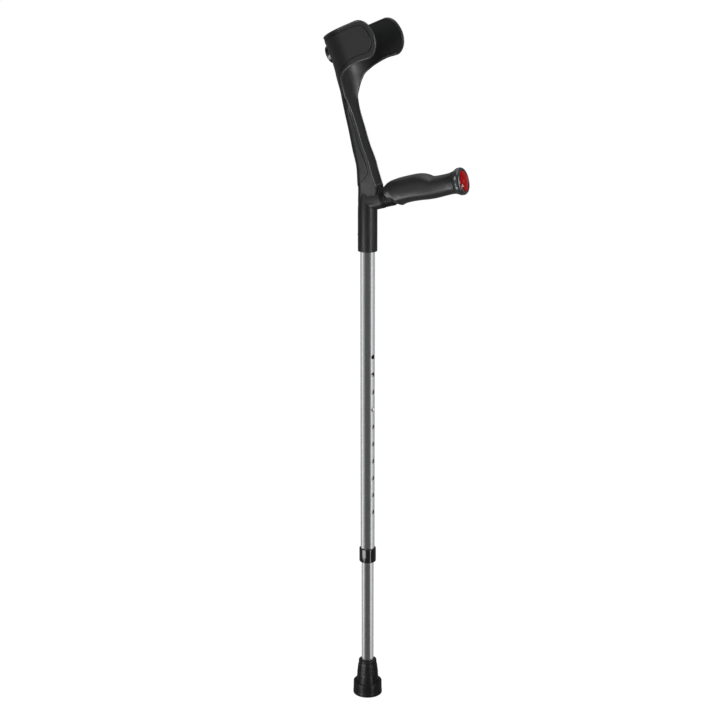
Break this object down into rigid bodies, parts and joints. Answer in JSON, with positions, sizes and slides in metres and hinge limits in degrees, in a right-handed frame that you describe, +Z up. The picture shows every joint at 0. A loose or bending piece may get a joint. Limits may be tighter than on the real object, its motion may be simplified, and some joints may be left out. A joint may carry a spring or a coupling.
{
  "type": "forearm crutch",
  "caption": "Forearm crutch with an open arm cuff, an anatomical hand grip and a telescopic aluminium leg set by a snap button.",
  "frame": {"origin": "centre of the rubber ferrule's flat underside, on the leg's axis", "axes": "+Z up the leg, +X along the side that the hand grip and the open side of the cuff point to, Y across"},
  "size_m": [0.2234, 0.098, 1.0584],
  "materials": {
    "frame_plastic": "satin black moulded plastic with a very fine texture",
    "cover_inlay": "satin black inlay, slightly duller than the frame",
    "lining": "matte black lining with a fine grain",
    "gloss_plastic": "glossy black moulded plastic",
    "inner_plastic": "plain dark plastic",
    "tube": "satin anodised aluminium with a fine mottle",
    "plated_steel": "zinc-plated steel",
    "spring_steel": "plain spring steel",
    "button_steel": "bright plated steel",
    "grip_rubber": "soft black grip rubber, satin",
    "ferrule_rubber": "black rubber, faint satin sheen",
    "red_lens": "glossy transparent red prismatic lens, backed"
  },
  "bodies": {
    "upper": {"frame_moulding": "frame_plastic", "outer_cover": "cover_inlay", "cuff_liner": "lining", "arm_insert": "lining", "reflector_housing": "frame_plastic", "rear_reflector_lens": "red_lens", "outer_tube": "tube", "sleeve_rivet": "plated_steel", "tube_collar": "gloss_plastic", "anti_rattle_ring": "inner_plastic", "grip_root_ring": "grip_rubber", "hand_grip": "grip_rubber", "grip_end_cap": "gloss_plastic", "grip_washer": "plated_steel", "grip_screw": "plated_steel", "grip_reflector_lens": "red_lens"},
    "lower": {"inner_tube": "tube", "ferrule": "ferrule_rubber", "ferrule_washer": "plated_steel", "button_spring": "spring_steel"},
    "button": {"snap_button": "button_steel"}
  },
  "joints": [
    {"name": "height_slide", "type": "slide", "parent": "lower", "child": "upper", "axis": [0, 0, 1], "range_m": [-0.0831, 0.1662], "deforming": ["snap_button", "button_spring"]},
    {"name": "button_press", "type": "slide", "parent": "lower", "child": "button", "axis": [-0.9659, 0.2588, 0], "range_m": [0, 0.004], "stiffness_N_per_m": 1200, "springref_m": -0.004, "deforming": ["button_spring"]}
  ]
}
